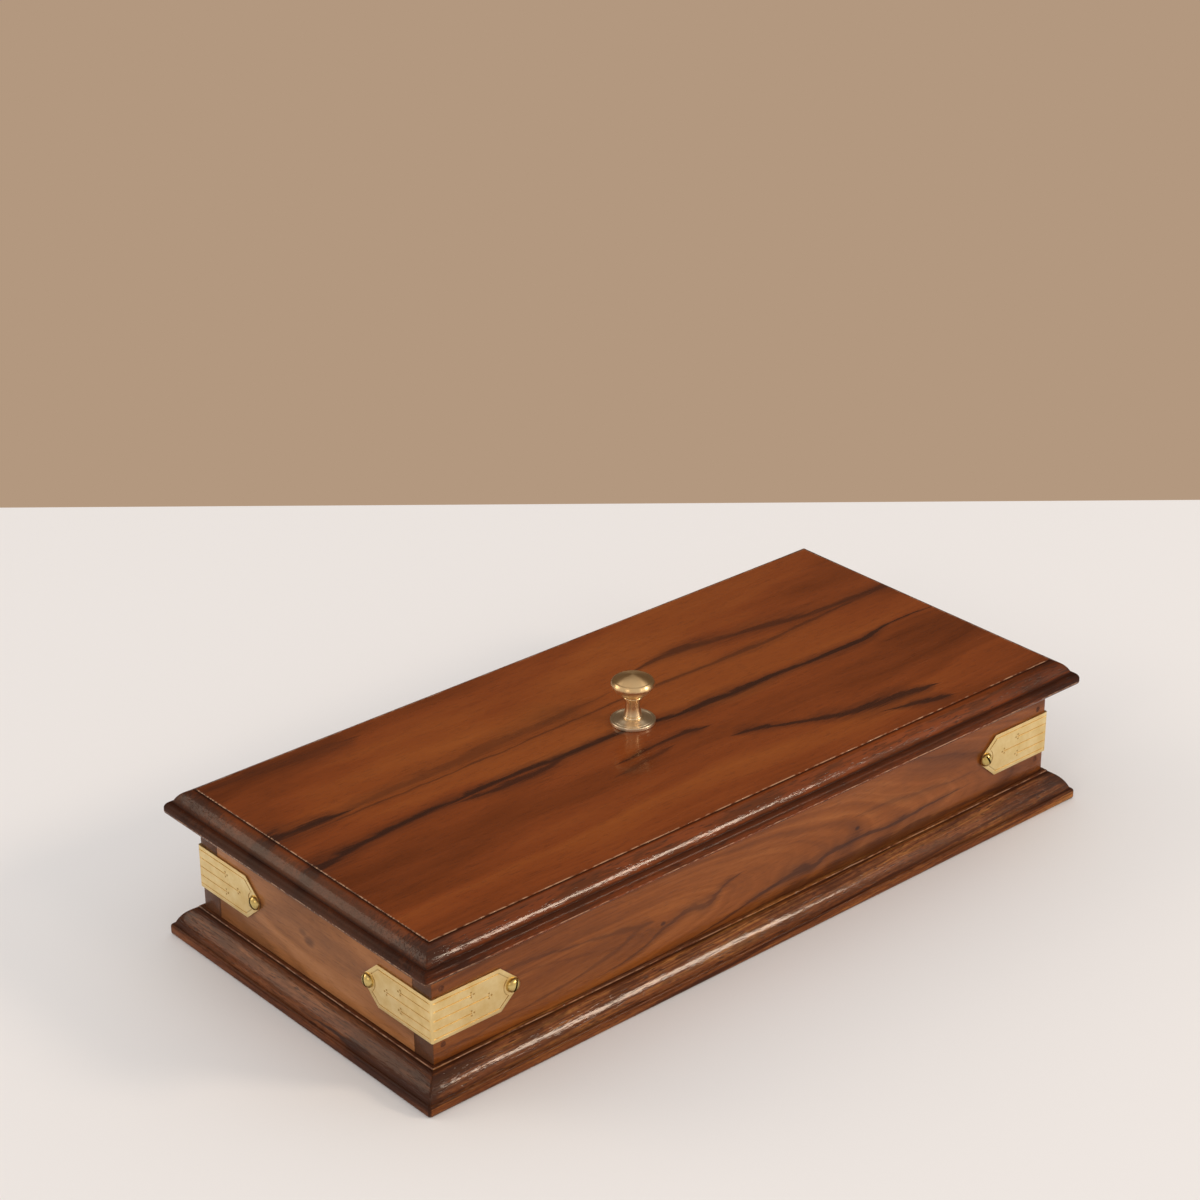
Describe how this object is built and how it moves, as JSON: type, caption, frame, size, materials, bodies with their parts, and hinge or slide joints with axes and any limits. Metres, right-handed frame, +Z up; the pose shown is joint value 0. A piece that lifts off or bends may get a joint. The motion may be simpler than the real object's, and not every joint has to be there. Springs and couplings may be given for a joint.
{
  "type": "keepsake case",
  "caption": "Low rectangular hardwood case for papers and keepsakes, with a moulded lift-off lid, mitred plinth moulding, brass corner straps and a turned brass knob.",
  "frame": {"origin": "middle of the case's footprint, on the surface it stands on", "axes": "+X along the case to its right end, -Y the long side nearest the viewer, +Z up"},
  "size_m": [0.3192, 0.1518, 0.0799],
  "materials": {
    "rosewood": "varnished, satin gloss",
    "plywood": "plain plywood, thinly sealed",
    "strap_brass": "satin sheet brass, engraved",
    "screw_brass": "bright turned brass",
    "knob_brass": "brushed turned brass",
    "pin_steel": "plain steel wire"
  },
  "bodies": {
    "case": {"front_wall": "rosewood", "back_wall": "rosewood", "left_wall": "rosewood", "right_wall": "rosewood", "bottom_board": "plywood", "front_plinth_moulding": "rosewood", "back_plinth_moulding": "rosewood", "left_plinth_moulding": "rosewood", "right_plinth_moulding": "rosewood", "front_left_strap": "strap_brass", "front_right_strap": "strap_brass", "back_left_strap": "strap_brass", "back_right_strap": "strap_brass", "strap_screws": "screw_brass", "corner_pins": "pin_steel", "bottom_pins": "pin_steel"},
    "lid": {"lid_board": "rosewood", "left_batten": "rosewood", "right_batten": "rosewood", "batten_screws": "screw_brass", "knob": "knob_brass", "knob_screw": "pin_steel", "knob_washer": "pin_steel"}
  },
  "joints": [
    {"name": "lid_lift", "type": "slide", "parent": "case", "child": "lid", "axis": [0, 0, 1], "range_m": [0, 0.12]}
  ]
}
